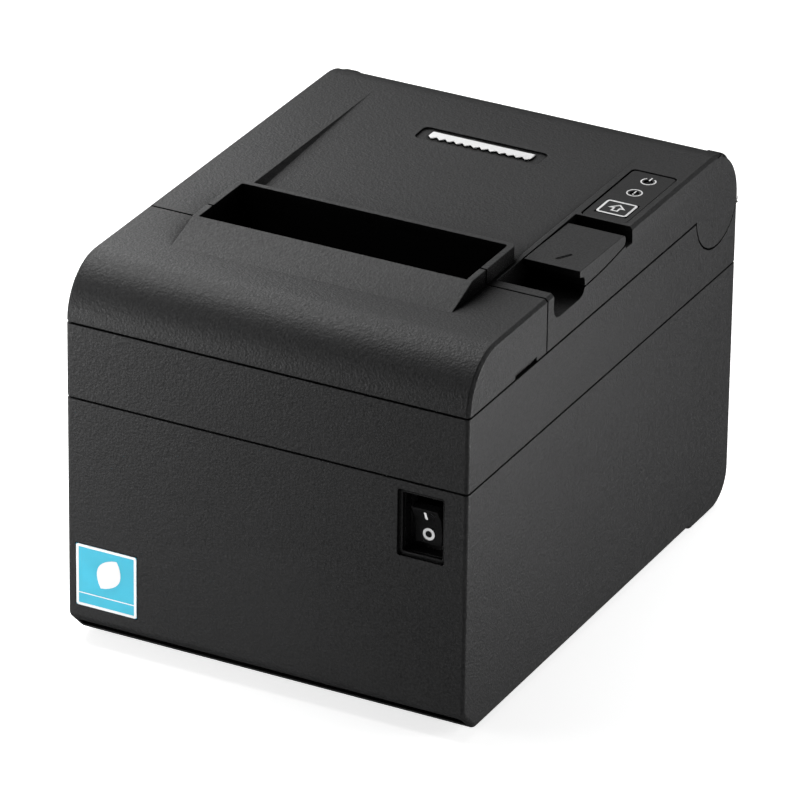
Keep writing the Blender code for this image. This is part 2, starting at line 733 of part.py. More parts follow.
def latch():
    """Cross shaft behind the slot with a hook at each end, turned by the lever."""
    y, z = LATCH_Y, LATCH_Z
    smooth(rod("latch_shaft", (7.0, y, z), LATCH_RADIUS, 106.0, 0, "steel", segments=20))
    for sign, name in ((-1, "left"), (1, "right")):
        inner, outer = sorted((sign * HOOK_X[0], sign * HOOK_X[1]))
        points = arc((y, z), LATCH_RADIUS + 2.2, 30, 190, 8)
        points += [(77.4, 108.0), (76.6, 101.0), (80.6, 100.0), (82.6, 104.0), (83.0, 112.0)]
        hook = side(f"latch_hook_{name}", points, inner, outer, "steel")
        cut(hook, rod(f"hook_bore_{name}", ((inner + outer) / 2, y, z), LATCH_RADIUS + TOUCH, 8.0, 0,
                      segments=20))
        smooth(hook)


def control_panel():
    """Thin overlay with a window for the feed key and holes for two lights."""
    low = (*PANEL_LOW, PANEL_TOP - 0.4)
    high = (*PANEL_HIGH, PANEL_TOP)
    film = box("control_panel", low, high, "panel_film", axis=2, radius=1.4)
    cut(film, box("key_window", (KEY_LOW[0] - TOUCH, KEY_LOW[1] - TOUCH, 120),
                  (KEY_HIGH[0] + TOUCH, KEY_HIGH[1] + TOUCH, 150)))
    for name, (x, y) in (("alert", ALERT_LIGHT), ("power", POWER_LIGHT)):
        cut(film, rod(f"{name}_film_hole", (x, y, 134.0), 1.5, 6.0, 2, segments=16))
        light = rod(f"{name}_light", (x, y, 132.1), 1.2, 4.2, 2, "clear_plastic", segments=16)
        smooth(light)
    box("control_board", (54.0, 118.6, 127.6), (69.0, 154.5, 128.8), "circuit_board")
    key = box("feed_button", (*KEY_LOW, 129.8), (*KEY_HIGH, PANEL_TOP), "panel_film", axis=2, radius=1.0)
    smooth(key)


def rocker_outline():
    """Outline of the rocker seen from the side, tipped to its off position."""
    end_y = -ROCKER_REACH - ROCKER_FACE * math.sin(ROCKER_SLOPE)
    end_z = ROCKER_FACE * math.cos(ROCKER_SLOPE)
    sink = end_y + ROCKER_REACH
    face = [(end_y - sink * (1 - (z / end_z) ** 2) ** 1.5, z) for z in (end_z, 5.0, 3.3, 1.9, 0.7)]
    upper = [(3.2, 0.0), (1.6, 4.6), (-3.6, end_z + 0.2)] + face
    level = upper + [(y, -z) for y, z in reversed(upper[1:])]
    cos, sin = math.cos(ROCKER_TILT), math.sin(ROCKER_TILT)
    tipped = [(y * cos - z * sin, y * sin + z * cos) for y, z in level]
    return shifted(tipped, ROCKER_Y, SWITCH_MIDDLE[1])


def power_switch():
    """Rocker switch: a body behind the front wall and a two-sided rocker in its well."""
    x, z = SWITCH_MIDDLE
    body = box("power_switch_body",
               (SWITCH_X[0] - SWITCH_RIM, WALL + TOUCH, SWITCH_Z[0] - SWITCH_RIM),
               (SWITCH_X[1] + SWITCH_RIM, SWITCH_REAR_Y, SWITCH_Z[1] + SWITCH_RIM), "inner_plastic")
    cut(body, box("switch_mouth", (SWITCH_X[0], 0.0, SWITCH_Z[0]), (SWITCH_X[1], SWITCH_FACE_Y, SWITCH_Z[1])))
    half_x, half_z = ROCKER_WELL
    cut(body, box("rocker_well", (x - half_x, 0.0, z - half_z), (x + half_x, 17.0, z + half_z)))
    rocker = side("power_rocker", rocker_outline(), x - ROCKER_HALF, x + ROCKER_HALF, "inner_plastic")
    smooth(rocker, 30)


# ---------------------------------------------------------------- print mechanism

def idler_place():
    return PLATEN_Y, PLATEN_Z - GEAR_MODULE * (PLATEN_TEETH + IDLER_TEETH) / 2


def motor_place():
    reach = GEAR_MODULE * (IDLER_TEETH + MOTOR_TEETH) / 2
    y, z = idler_place()
    return y + reach * math.cos(MOTOR_ANGLE), z + reach * math.sin(MOTOR_ANGLE)


def side_plates():
    """Two steel plates that carry the platen bearings, gears and motor."""
    slot = 4.6
    front, rear = PLATE_Y
    bearing = [(PLATEN_Y - slot, PLATE_TOP)] + arc((PLATEN_Y, PLATEN_Z), slot, 180, 360, 12)
    bearing += [(PLATEN_Y + slot, PLATE_TOP)]
    top = [(front, PLATE_FOOT), (front, PLATE_TOP)] + bearing + [(rear, PLATE_TOP)]
    motor_y, motor_z = motor_place()
    left = side("left_side_plate", top + [(rear, 60.0), (50.0, 60.0), (44.0, 90.0)],
                -PLATE_X[1], -PLATE_X[0], "steel")
    cut(left, rod("motor_shaft_hole", (-PLATE_X[0], motor_y, motor_z), 3.2, 8.0, 0, segments=20))
    idler_y, idler_z = idler_place()
    cut(left, rod("idler_pin_hole", (-PLATE_X[0], idler_y, idler_z), 2.3, 8.0, 0, segments=20))
    smooth(rod("idler_pin", (-46.0, idler_y, idler_z), 2.0, 5.6, 0, "steel", segments=20))
    side("right_side_plate", top + [(rear, PLATE_FOOT)], *PLATE_X, "steel")
    reach = PLATE_X[0] - TOUCH
    box("cross_plate", (-reach, 13.0, 94.0), (reach, 40.0, 95.2), "steel")


def platen():
    """Rubber roller on a steel shaft, with a bearing at each end and a gear on the left."""
    centre = (0.0, PLATEN_Y, PLATEN_Z)
    roller = rod("platen_roller", centre, PLATEN_RADIUS, 80.0, 0, "platen_rubber", segments=40)
    cut(roller, rod("roller_bore", centre, SHAFT_RADIUS + 0.05, 90.0, 0, segments=24))
    smooth(roller)
    smooth(rod("platen_shaft", (-1.3, PLATEN_Y, PLATEN_Z), SHAFT_RADIUS, 93.4, 0, "steel", segments=24))
    for sign, name in ((-1, "left"), (1, "right")):
        place = (sign * sum(PLATE_X) / 2, PLATEN_Y, PLATEN_Z)
        ring = rod(f"platen_bearing_{name}", place, 4.2, 2.4, 0, "brass", segments=28)
        cut(ring, rod(f"bearing_bore_{name}", place, SHAFT_RADIUS + TOUCH, 9.0, 0, segments=24))
        smooth(ring)
    gear("platen_gear", PLATEN_TEETH, (PLATEN_Y, PLATEN_Z), 0.0, SHAFT_RADIUS + 0.05)
    bracket = box("platen_bracket", (-BRACKET_X[1], 52.0, 106.5), (BRACKET_X[1], 72.0, 124.4), "steel",
                  axis=0, radius=2.0)
    cut(bracket, box("bracket_channel", (-BRACKET_X[0], 40.0, 100.0), (BRACKET_X[0], 80.0, 123.2)))
    cut(bracket, rod("bracket_bore", centre, SHAFT_RADIUS + TOUCH, 100.0, 0, segments=24))


def gear(name, teeth, place, phase, bore, width=GEAR_X, finish="gear_plastic"):
    """Spur gear on an axis along X, with a hole for its shaft."""
    outline = shifted(gear_outline(teeth, GEAR_MODULE, phase), *place)
    wheel = side(name, outline, *width, finish)
    cut(wheel, rod(f"{name}_bore", (sum(width) / 2, *place), bore, 20.0, 0, segments=24))
    return wheel


def gear_train():
    """Idler and motor gears, turned so that a gap faces each tooth they mesh with."""
    idler = idler_place()
    half_turn = math.pi / IDLER_TEETH
    gear("idler_gear", IDLER_TEETH, idler, math.pi / 2 + half_turn, 2.0 + TOUCH)
    motor = motor_place()
    tooth_angle = 2 * math.pi / IDLER_TEETH
    nearest = (MOTOR_ANGLE - math.pi / 2 - half_turn) % tooth_angle
    phase = MOTOR_ANGLE + math.pi + nearest * IDLER_TEETH / MOTOR_TEETH + math.pi / MOTOR_TEETH
    pinion = side("motor_pinion", shifted(gear_outline(MOTOR_TEETH, GEAR_MODULE, phase), *motor),
                  *GEAR_X, "brass")
    shaft = rod("pinion_shaft", (-45.0, *motor), 2.4, 3.8, 0, segments=20)
    join(pinion, shaft)
    body = rod("feed_motor", (-33.0, *motor), MOTOR_RADIUS, 19.6, 0, "steel", segments=40)
    smooth(body)


def print_head():
    """Thermal head and its heat sink, hinged at the foot and pressed against the platen."""
    box("print_head", (-HEAD_HALF, 47.8, 99.0), (HEAD_HALF, 49.2, HEAD_TOP), "ceramic",
        axis=0, radius=0.4, segments=2)
    sink = box("head_heatsink", (-HEAD_HALF, 43.6, 97.0), (HEAD_HALF, 47.5, HEAD_TOP), "aluminium")
    for index in range(5):
        z = 100.0 + 3.2 * index
        cut(sink, box(f"fin_gap_{index}", (-45.0, 40.0, z), (45.0, 45.4, z + 1.6)))
    points = [(38.0, 95.5), (38.8, 95.5), (41.6, 108.0), (40.9, 108.4)]
    side("head_spring", points, -12.0, 12.0, "blade_steel")


def cutter():
    """Guillotine: blade on a rack between two plates, upright motor, pinion and thumb wheel."""
    low, high = BLADE_Z
    frame = box("cutter_frame", (-67.0, 12.0, low - 3.2), (46.0, 42.6, low - 1.7), "steel")
    join(frame, box("frame_rail", (42.0, 13.0, low - 2.5), (45.5, 41.0, high + 1.2)))
    join(frame, box("frame_lid", (-36.0, 12.5, high + 0.7), (45.8, 40.0, high + 1.9)))
    cut(frame, rod("frame_hole", (PINION_X, PINION_Y, low), 2.6, 12.0, 2, segments=20))
    blade = plan("moving_blade", [(-43.0, 16.0), (41.0, 16.0), (41.0, 44.0), (0.0, 37.0), (-41.0, 44.0),
                                  (-41.0, 34.5), (-47.0, 34.5), (-47.0, 30.0), (-47.0, 8.6),
                                  (-43.0, 8.6)], low, high, "blade_steel")
    pitch = PINION_MODULE * math.pi
    line = PINION_X + PINION_TEETH * PINION_MODULE / 2
    rack = [(-46.8, 30.6), (-46.8, 8.8)]
    for index in range(9):
        y = PINION_Y + (index - 7) * pitch
        rack += [(line + 1.0, y + 0.23 * pitch), (line, y + 0.30 * pitch),
                 (line - 0.7, y + 0.41 * pitch), (line - 0.7, y + 0.59 * pitch),
                 (line, y + 0.70 * pitch), (line + 1.0, y + 0.77 * pitch)]
    join(blade, plan("rack_teeth", rack, low + 0.05, high - 0.05))
    outline = shifted(gear_outline(PINION_TEETH, PINION_MODULE, 0.0), PINION_X, PINION_Y)
    pinion = plan("cutter_pinion", outline, low, high, "gear_plastic")
    wheel = cylinder_mesh((PINION_X, PINION_Y, 124.6), 7.4, 4.6, 2, 30)
    join(pinion, rod("pinion_hub", (PINION_X, PINION_Y, 122.0), 3.0, 1.6, 2, segments=20))
    join(pinion, add("thumb_wheel", wheel))
    cut(pinion, rod("pinion_bore", (PINION_X, PINION_Y, 122.0), 1.3, 5.0, 2, segments=16))
    smooth(pinion)
    motor = rod("cutter_motor", (PINION_X, PINION_Y, 105.8), 8.0, 20.8, 2, "steel", segments=32)
    join(motor, rod("cutter_shaft", (PINION_X, PINION_Y, 119.5), 1.0, 9.0, 2, segments=16))
    smooth(motor)
    box("fixed_blade", (-40.6, 50.8, high + 0.4), (40.6, 60.0, high + 1.3), "blade_steel")


# ---------------------------------------------------------------- paper path

def roll_bay():
    """Open-topped trough that the paper roll lies in, with a flange along each side."""
    outer = BAY_RADIUS + BAY_WALL
    points = arc((ROLL_Y, ROLL_Z), outer, 180, 360, 20)
    points += [(ROLL_Y + outer, 98.0), (ROLL_Y - outer, 115.0)]
    bay = side("roll_bay", points, -BAY_HALF - BAY_WALL, BAY_HALF + BAY_WALL, "inner_plastic")
    inside = arc((ROLL_Y, ROLL_Z), BAY_RADIUS, 180, 360, 20)
    inside += [(ROLL_Y + BAY_RADIUS, 130.0), (ROLL_Y - BAY_RADIUS, 130.0)]
    for sign, name in ((-1, "left"), (1, "right")):
        low, high = sorted((sign * (BAY_HALF + 1.0), sign * (INNER - 0.5)))
        join(bay, box(f"bay_flange_{name}", (low, 96.0, 105.0), (high, 152.0, 107.0)))
    cut(bay, side("bay_hollow", inside, -BAY_HALF, BAY_HALF))
    smooth(bay)


def sensors():
    box("paper_sensor", (-6.0, 76.0, 92.0), (6.0, 84.0, 99.0), "inner_plastic", axis=0, radius=0.8)
    box("near_end_sensor", (-55.0, 112.0, 58.0), (-44.2, 124.0, 68.0), "inner_plastic", axis=0, radius=0.8)
    box("cover_switch", (58.0, 62.0, 104.0), (64.0, 78.0, 114.0), "inner_plastic", axis=0, radius=0.8)


# ---------------------------------------------------------------- electronics

def electronics():
    low, high = BOARD_Z
    box("bottom_plate", (-50.0, 24.0, 5.0), (50.0, 146.0, 6.2), "steel")
    box("main_board", (-60.0, 58.0, low), (60.0, 190.0, high), "circuit_board")
    smooth(rod("capacitor", (-30.0, 75.0, high + 10.3), 8.0, 20.0, 2, "aluminium", segments=28))
    sockets = (
        ("dc_jack", "inner_plastic", (-54.0, -38.0), 12.0, (-49.0, -43.0), (16.5, 24.0)),
        ("usb_port", "steel", (-27.0, -14.0), 12.5, (-24.8, -16.2), (15.4, 23.8)),
        ("drawer_port", "inner_plastic", (-6.0, 9.0), 14.0, (-3.6, 6.6), (16.0, 24.6)),
        ("serial_port", "steel", (18.0, 52.0), 12.6, (23.0, 47.0), (16.4, 23.6)),
    )
    plate = box("connector_plate", (-66.0, 192.2, 9.0), (66.0, 193.2, 36.0), "steel")
    for name, finish, across, height, mouth_x, mouth_z in sockets:
        body = box(name, (across[0], 176.0, high + TOUCH), (across[1], 195.4, high + TOUCH + height),
                   finish, axis=1, radius=0.6, segments=2)
        mouth = box(f"{name}_mouth", (mouth_x[0], 182.0, mouth_z[0]), (mouth_x[1], 200.0, mouth_z[1]),
                    axis=1, radius=0.8, segments=2)
        cut(body, mouth)
        cut(plate, box(f"{name}_gap", (across[0] - 0.4, 185.0, high),
                       (across[1] + 0.4, 199.0, high + height + 0.7)))


def front_label():
    box("front_label", (LABEL_X[0], 0.0, LABEL_Z[0]), (LABEL_X[1], LABEL_THICKNESS, LABEL_Z[1]), "label_blue")


# ---------------------------------------------------------------- assembly

def pivot(target, place):
    """Move an object's origin onto its joint axis without moving its shape."""
    origin = at(*place)
    target.data.transform(Matrix.Translation(-origin))
    target.location = origin


def set_pivots():
    parts = bpy.data.objects
    hinge = (0.0, HINGE_Y, HINGE_Z)
    for name, place in (
        ("top_cover", hinge),
        ("open_lever", (62.0, LEVER_PIVOT_Y, LEVER_PIVOT_Z)),
        ("latch_shaft", (0.0, LATCH_Y, LATCH_Z)),
        ("power_rocker", (SWITCH_MIDDLE[0], ROCKER_Y, SWITCH_MIDDLE[1])),
        ("platen_shaft", (0.0, PLATEN_Y, PLATEN_Z)),
        ("idler_gear", (sum(GEAR_X) / 2, *idler_place())),
        ("motor_pinion", (sum(GEAR_X) / 2, *motor_place())),
        ("cutter_pinion", (PINION_X, PINION_Y, BLADE_Z[0])),
        ("print_head", (0.0, *HEAD_PIVOT)),
    ):
        pivot(parts[name], place)


def main():
    clear_scene()
    lower_case()
    feet()
    bottom_screws()
    mid_housing()
    hinge_pins()
    front_cover()
    tear_bar()
    top_cover()
    top_badge()
    cover_liner()
    open_lever()
    latch()
    control_panel()
    power_switch()
    side_plates()
    platen()
    gear_train()
    print_head()
    cutter()
    roll_bay()
    sensors()
    electronics()
    front_label()
    set_pivots()
    bpy.context.view_layer.update()


main()
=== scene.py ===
"""Looks of the receipt printer: materials, fine surface, marks, lights and camera."""

import json
import math

import bmesh
import bpy
from mathutils import Matrix, Vector


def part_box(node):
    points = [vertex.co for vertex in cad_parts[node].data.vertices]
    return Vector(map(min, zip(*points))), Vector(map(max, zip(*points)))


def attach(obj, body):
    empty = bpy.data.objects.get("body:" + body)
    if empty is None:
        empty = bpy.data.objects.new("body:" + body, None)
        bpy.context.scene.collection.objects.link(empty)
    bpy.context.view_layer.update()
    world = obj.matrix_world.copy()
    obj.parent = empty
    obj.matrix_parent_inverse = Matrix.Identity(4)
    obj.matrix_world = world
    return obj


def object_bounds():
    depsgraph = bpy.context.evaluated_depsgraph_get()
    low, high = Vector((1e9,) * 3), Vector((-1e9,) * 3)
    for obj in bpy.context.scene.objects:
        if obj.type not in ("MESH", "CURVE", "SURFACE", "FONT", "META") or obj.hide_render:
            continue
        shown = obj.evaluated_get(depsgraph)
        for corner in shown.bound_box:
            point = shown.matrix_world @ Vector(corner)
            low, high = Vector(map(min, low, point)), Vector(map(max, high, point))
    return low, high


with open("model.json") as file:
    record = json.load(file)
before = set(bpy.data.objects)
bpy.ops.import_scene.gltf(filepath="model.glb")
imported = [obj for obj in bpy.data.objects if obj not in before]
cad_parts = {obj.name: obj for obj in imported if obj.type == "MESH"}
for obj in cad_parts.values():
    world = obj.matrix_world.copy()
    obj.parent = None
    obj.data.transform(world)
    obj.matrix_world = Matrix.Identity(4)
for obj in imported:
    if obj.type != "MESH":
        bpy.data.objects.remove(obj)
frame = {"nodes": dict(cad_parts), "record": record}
CAD_LOW, CAD_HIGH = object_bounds()

MM = 0.001
FRONT_Y = CAD_LOW.y
CENTRE = (CAD_LOW + CAD_HIGH) / 2

# Camera: seen from the front right and above
CAMERA_AZIMUTH = math.radians(27.24)
CAMERA_ELEVATION = math.radians(26.56)
CAMERA_ROLL = math.radians(0.78)
CAMERA_DISTANCE = 2.3794
CAMERA_AIM = CENTRE + Vector((1.25, -7.19, -4.30)) * MM
CAMERA_LENS = 326.17

# Printed marks: centres in millimetres from the middle, the front face and the ground
PANEL_TOP = 134.7
POWER_MARK = (61.5, 149.4)
ALERT_MARK = (61.3, 139.4)
KEY_MARK = (61.5, 125.9)
KEY_FRAME = (5.1, 4.6)
ROCKER_LINE = (56.2, 3.3, 76.7)
ROCKER_RING = (56.4, 5.07, 69.5)
ROCKER_LEAN = 25.5
ROCKER_DROP = -1.0
SOCKET_REAR = 182.0
DC_PIN = (-46.0, 20.2)
USB = (-20.5, 19.6)
DRAWER = (1.5, 24.2)
SERIAL = (35.0, 20.0)
SERIAL_PITCH = 2.77
SERIAL_ROW = 1.42
DRAWER_PITCH = 1.02
STICKER_BORDER = 0.95
STICKER_LINE = 0.79
LEAF_STEPS = 12
LEAF_HALF = 4.3
LEAF_TIP = 8.2
LEAF_LENGTH = 12.6
LEAF_LEAN = -28.0


def at(x, y, z):
    """Point in metres from millimetres: x from the middle, y from the front face, z from the ground."""
    return Vector((x * MM, FRONT_Y + y * MM, z * MM))


# ---------------------------------------------------------------- materials

SHINE = 0.25
# Painted shade: base colour darkened and shine lowered deep in slots and pockets.
PAINTED_SHADE_REACH = 0.05
PAINTED_SHADE_CLOSED = 0.72
PAINTED_SHADE_OPEN = 0.97
PAINTED_SHADE_TONE = 0.3
SPECK_TONE = 1.6
# Lighter edges: partly rubbed wear, partly a painted highlight.
WORN_AND_HIGHLIGHT_TONE = 2.2
WORN_AND_HIGHLIGHT_FROM = 0.52
WORN_AND_HIGHLIGHT_TO = 0.62
BRUSH_STRENGTH = 0.25
PEEL_GRAIN = 400.0


def new_material(name, colour, roughness, metallic=0.0):
    made = bpy.data.materials.new(name)
    made.use_nodes = True
    made.diffuse_color = (*colour, 1.0)
    shader = made.node_tree.nodes["Principled BSDF"]
    shader.inputs["Base Color"].default_value = (*colour, 1.0)
    shader.inputs["Roughness"].default_value = roughness
    shader.inputs["Metallic"].default_value = metallic
    return made, made.node_tree, shader


def place_of(tree, stretch=None):
    """Position on the piece in its own space, stretched for brushed or drawn surfaces."""
    coordinates = tree.nodes.new("ShaderNodeTexCoord")
    if stretch is None:
        return coordinates.outputs["Object"]
    mapping = tree.nodes.new("ShaderNodeMapping")
    mapping.inputs["Scale"].default_value = stretch
    tree.links.new(coordinates.outputs["Object"], mapping.inputs["Vector"])
    return mapping.outputs["Vector"]


def noise(tree, place, scale, detail=2.0, roughness=0.5):
    node = tree.nodes.new("ShaderNodeTexNoise")
    node.inputs["Scale"].default_value = scale
    node.inputs["Detail"].default_value = detail
    node.inputs["Roughness"].default_value = roughness
    tree.links.new(place, node.inputs["Vector"])
    return node.outputs["Fac"]


def cells(tree, place, scale):
    node = tree.nodes.new("ShaderNodeTexVoronoi")
    node.inputs["Scale"].default_value = scale
    tree.links.new(place, node.inputs["Vector"])
    return node.outputs["Distance"]


def spread(tree, value, low, high, from_low=0.3, from_high=0.7):
    node = tree.nodes.new("ShaderNodeMapRange")
    node.inputs["From Min"].default_value = from_low
    node.inputs["From Max"].default_value = from_high
    node.inputs["To Min"].default_value = low
    node.inputs["To Max"].default_value = high
    tree.links.new(value, node.inputs["Value"])
    return node.outputs["Result"]


def blend_colours(tree, share, first, second):
    node = tree.nodes.new("ShaderNodeMix")
    node.data_type = "RGBA"
    for socket, colour in ((node.inputs[6], first), (node.inputs[7], second)):
        if isinstance(colour, tuple):
            socket.default_value = (*colour, 1.0)
        else:
            tree.links.new(colour, socket)
    tree.links.new(share, node.inputs[0])
    return node.outputs[2]


def bump(tree, shader, heights):
    """Chain of bumps: each entry is a height, its strength and its depth in metres."""
    last = None
    for height, strength, depth in heights:
        node = tree.nodes.new("ShaderNodeBump")
        node.inputs["Strength"].default_value = strength
        node.inputs["Distance"].default_value = depth
        tree.links.new(height, node.inputs["Height"])
        if last is not None:
            tree.links.new(last, node.inputs["Normal"])
        last = node.outputs["Normal"]
    tree.links.new(last, shader.inputs["Normal"])


def worn_and_highlit_edges(tree):
    """Share that is high on sharp outer edges, for rubbed wear and a painted edge highlight."""
    geometry = tree.nodes.new("ShaderNodeNewGeometry")
    return spread(tree, geometry.outputs["Pointiness"], 0.0, 1.0, WORN_AND_HIGHLIGHT_FROM, WORN_AND_HIGHLIGHT_TO)


def openness_for_painted_shade(tree, alone):
    """Share that is low deep inside slots and pockets, where painted shade goes, of the piece alone or
    with its neighbours.
    """
    node = tree.nodes.new("ShaderNodeAmbientOcclusion")
    node.samples = 6
    node.only_local = alone
    node.inputs["Distance"].default_value = PAINTED_SHADE_REACH
    return spread(tree, node.outputs["AO"], 0.0, 1.0, PAINTED_SHADE_CLOSED, PAINTED_SHADE_OPEN)


def moulded(name, dark, light, roughness, grain=1250.0, depth=0.00012, wear_and_highlight=0.35, alone=True):
    """Spark-eroded plastic: fine pebbled grain, slight mottling, edges rubbed a little lighter with a
    painted edge highlight, and painted shade deep in slots and pockets.
    """
    made, tree, shader = new_material(name, dark, roughness)
    shader.inputs["Specular IOR Level"].default_value = SHINE
    place = place_of(tree)
    mottle = spread(tree, noise(tree, place, 35.0, 3.0), 0.0, 1.0, 0.35, 0.65)
    speck = spread(tree, noise(tree, place, grain, 1.0), 0.0, 1.0, 0.3, 0.7)
    body = blend_colours(tree, mottle, dark, light)
    pebbled = blend_colours(tree, speck, body, tuple(SPECK_TONE * c for c in light))
    # Painted highlight along sharp outer edges, partly also rubbed wear.
    rub_and_highlight = tree.nodes.new("ShaderNodeMath")
    rub_and_highlight.operation = "MULTIPLY"
    rub_and_highlight.inputs[1].default_value = wear_and_highlight
    tree.links.new(worn_and_highlit_edges(tree), rub_and_highlight.inputs[0])
    worn_and_highlit = blend_colours(tree, rub_and_highlight.outputs[0], pebbled, tuple(WORN_AND_HIGHLIGHT_TONE * c for c in light))
    # Painted shade: darker colour and less shine where little light reaches inside slots and pockets.
    shade = openness_for_painted_shade(tree, alone)
    painted_shade_colour = tuple(PAINTED_SHADE_TONE * c for c in dark)
    tree.links.new(blend_colours(tree, shade, painted_shade_colour, worn_and_highlit), shader.inputs["Base Color"])
    tree.links.new(spread(tree, shade, 0.0, SHINE, 0.0, 1.0), shader.inputs["Specular IOR Level"])
    fine = noise(tree, place, grain * 0.8, 2.0, 0.6)
    tree.links.new(spread(tree, fine, roughness - 0.07, roughness + 0.08), shader.inputs["Roughness"])
    bump(tree, shader, (
        (cells(tree, place, grain), 0.6, depth),
        (noise(tree, place, grain * 0.5, 2.0), 0.5, depth * 1.6),
    ))
    return made


def rubber(name, colour, grain=900.0):
    made, tree, shader = new_material(name, colour, 0.85)
    place = place_of(tree)
    dust = spread(tree, noise(tree, place, 120.0, 4.0), 0.0, 0.35, 0.45, 0.75)
    shade = blend_colours(tree, dust, colour, tuple(min(1.0, 3.0 * c + 0.01) for c in colour))
    tree.links.new(shade, shader.inputs["Base Color"])
    tree.links.new(spread(tree, noise(tree, place, grain), 0.75, 0.95), shader.inputs["Roughness"])
    bump(tree, shader, ((noise(tree, place, grain, 3.0), 0.4, 0.00006),))
    return made


def metal(name, colour, roughness, stretch, lines=900.0):
    """Drawn or ground metal: long fine lines, patches of tarnish."""
    made, tree, shader = new_material(name, colour, roughness, 1.0)
    long_place = place_of(tree, stretch)
    brush = noise(tree, long_place, lines, 3.0, 0.6)
    patch = spread(tree, noise(tree, place_of(tree), 60.0, 4.0), 0.0, 1.0, 0.4, 0.7)
    shade = blend_colours(tree, patch, colour, tuple(0.82 * c for c in colour))
    tree.links.new(shade, shader.inputs["Base Color"])
    tree.links.new(spread(tree, brush, roughness - 0.08, roughness + 0.12), shader.inputs["Roughness"])
    bump(tree, shader, ((brush, BRUSH_STRENGTH, 0.00003),))
    return made


def glossy(name, colour, roughness):
    """Smooth plastic, film or glaze with a faint orange-peel surface."""
    made, tree, shader = new_material(name, colour, roughness)
    place = place_of(tree)
    tint = spread(tree, noise(tree, place, 90.0, 3.0), 0.0, 1.0, 0.35, 0.65)
    shade = blend_colours(tree, tint, colour, tuple(0.9 * c for c in colour))
    tree.links.new(shade, shader.inputs["Base Color"])
    haze = noise(tree, place, PEEL_GRAIN)
    tree.links.new(spread(tree, haze, roughness - 0.04, roughness + 0.05), shader.inputs["Roughness"])
    bump(tree, shader, ((noise(tree, place, PEEL_GRAIN, 2.0), 0.15, 0.00004),))
    return made


def circuit_board(name):
    """Green solder mask with copper traces showing through and small tinned pads."""
    made, tree, shader = new_material(name, (0.012, 0.09, 0.035), 0.35)
    place = place_of(tree, (1.0, 1.0, 0.0))
    traces = tree.nodes.new("ShaderNodeTexBrick")
    traces.inputs["Scale"].default_value = 160.0
    traces.inputs["Mortar Size"].default_value = 0.09
    traces.inputs["Color1"].default_value = (0.010, 0.085, 0.032, 1)
    traces.inputs["Color2"].default_value = (0.013, 0.10, 0.040, 1)
    traces.inputs["Mortar"].default_value = (0.03, 0.20, 0.07, 1)
    tree.links.new(place, traces.inputs["Vector"])
    pads = spread(tree, cells(tree, place, 170.0), 1.0, 0.0, 0.16, 0.20)
    tree.links.new(blend_colours(tree, pads, traces.outputs["Color"], (0.55, 0.55, 0.50)),
                   shader.inputs["Base Color"])
    tree.links.new(spread(tree, noise(tree, place_of(tree), 300.0), 0.28, 0.45),
                   shader.inputs["Roughness"])
    bump(tree, shader, ((traces.outputs["Fac"], 0.3, 0.00005),))
    return made


CASE_TONES = ((0.0125, 0.0125, 0.0127), (0.0150, 0.0150, 0.0153), 0.49)
CASE = moulded("case_plastic", *CASE_TONES)
# The upper case pieces also take painted shade from their neighbouring pieces.
UPPER_CASE = moulded("upper_case_plastic", *CASE_TONES, alone=False)
INNER = moulded("inner_plastic", (0.009, 0.009, 0.0092), (0.012, 0.012, 0.0124), 0.58, 900.0,
                depth=0.00003)
SWITCH = glossy("switch_plastic", (0.008, 0.008, 0.0083), 0.30)
PANEL = moulded("panel_film", (0.0100, 0.0100, 0.0102), (0.0115, 0.0115, 0.0118), 0.46, 2600.0,
                depth=0.00002, wear_and_highlight=0.0)
FOOT = rubber("foot_rubber", (0.016, 0.016, 0.016))
PLATEN = rubber("platen_rubber", (0.035, 0.035, 0.037), 1600.0)
STEEL = metal("steel", (0.50, 0.51, 0.52), 0.34, (1.0, 0.06, 1.0))
BLADE = metal("blade_steel", (0.66, 0.67, 0.68), 0.22, (0.05, 1.0, 1.0), 1400.0)
ALUMINIUM = metal("aluminium", (0.70, 0.71, 0.72), 0.36, (0.06, 1.0, 1.0))
BRASS = metal("brass", (0.70, 0.50, 0.22), 0.30, (0.2, 1.0, 1.0))
GOLD = metal("gold_contact", (0.83, 0.62, 0.27), 0.24, (0.2, 1.0, 1.0))
GEAR = glossy("gear_plastic", (0.72, 0.70, 0.64), 0.42)
TONGUE = glossy("socket_white", (0.60, 0.60, 0.58), 0.40)
BOARD = circuit_board("circuit_board")
CERAMIC = glossy("ceramic", (0.66, 0.62, 0.54), 0.25)
WHITE = glossy("white_mark", (0.86, 0.86, 0.86), 0.42)
LABEL = glossy("label_print", (0.05, 0.49, 0.67), 0.38)
SMOKED = glossy("smoked_plastic", (0.012, 0.012, 0.0125), 0.24)

FINISHES = {
    "case_plastic": CASE, "inner_plastic": INNER, "panel_film": PANEL, "foot_rubber": FOOT,
    "platen_rubber": PLATEN, "steel": STEEL, "blade_steel": BLADE, "aluminium": ALUMINIUM,
    "brass": BRASS, "gear_plastic": GEAR, "circuit_board": BOARD, "ceramic": CERAMIC,
    "white_mark": WHITE, "label_print": LABEL, "clear_plastic": SMOKED,
}
SPECIAL = {
    "power_rocker": SWITCH, "power_switch_body": SWITCH,
    "top_cover": UPPER_CASE, "front_cover": UPPER_CASE, "open_lever": UPPER_CASE,
}


def finish_nodes():
    """Give every carried-over node the material of its slot, soft edges and smooth rounds."""
    for row in frame["record"]["subparts"]:
        node = frame["nodes"][row["node"]]
        node.data.materials.clear()
        node.data.materials.append(SPECIAL.get(row["node"]) or FINISHES[row["material_slot"]])
        soften(node, NODE_ROUND)


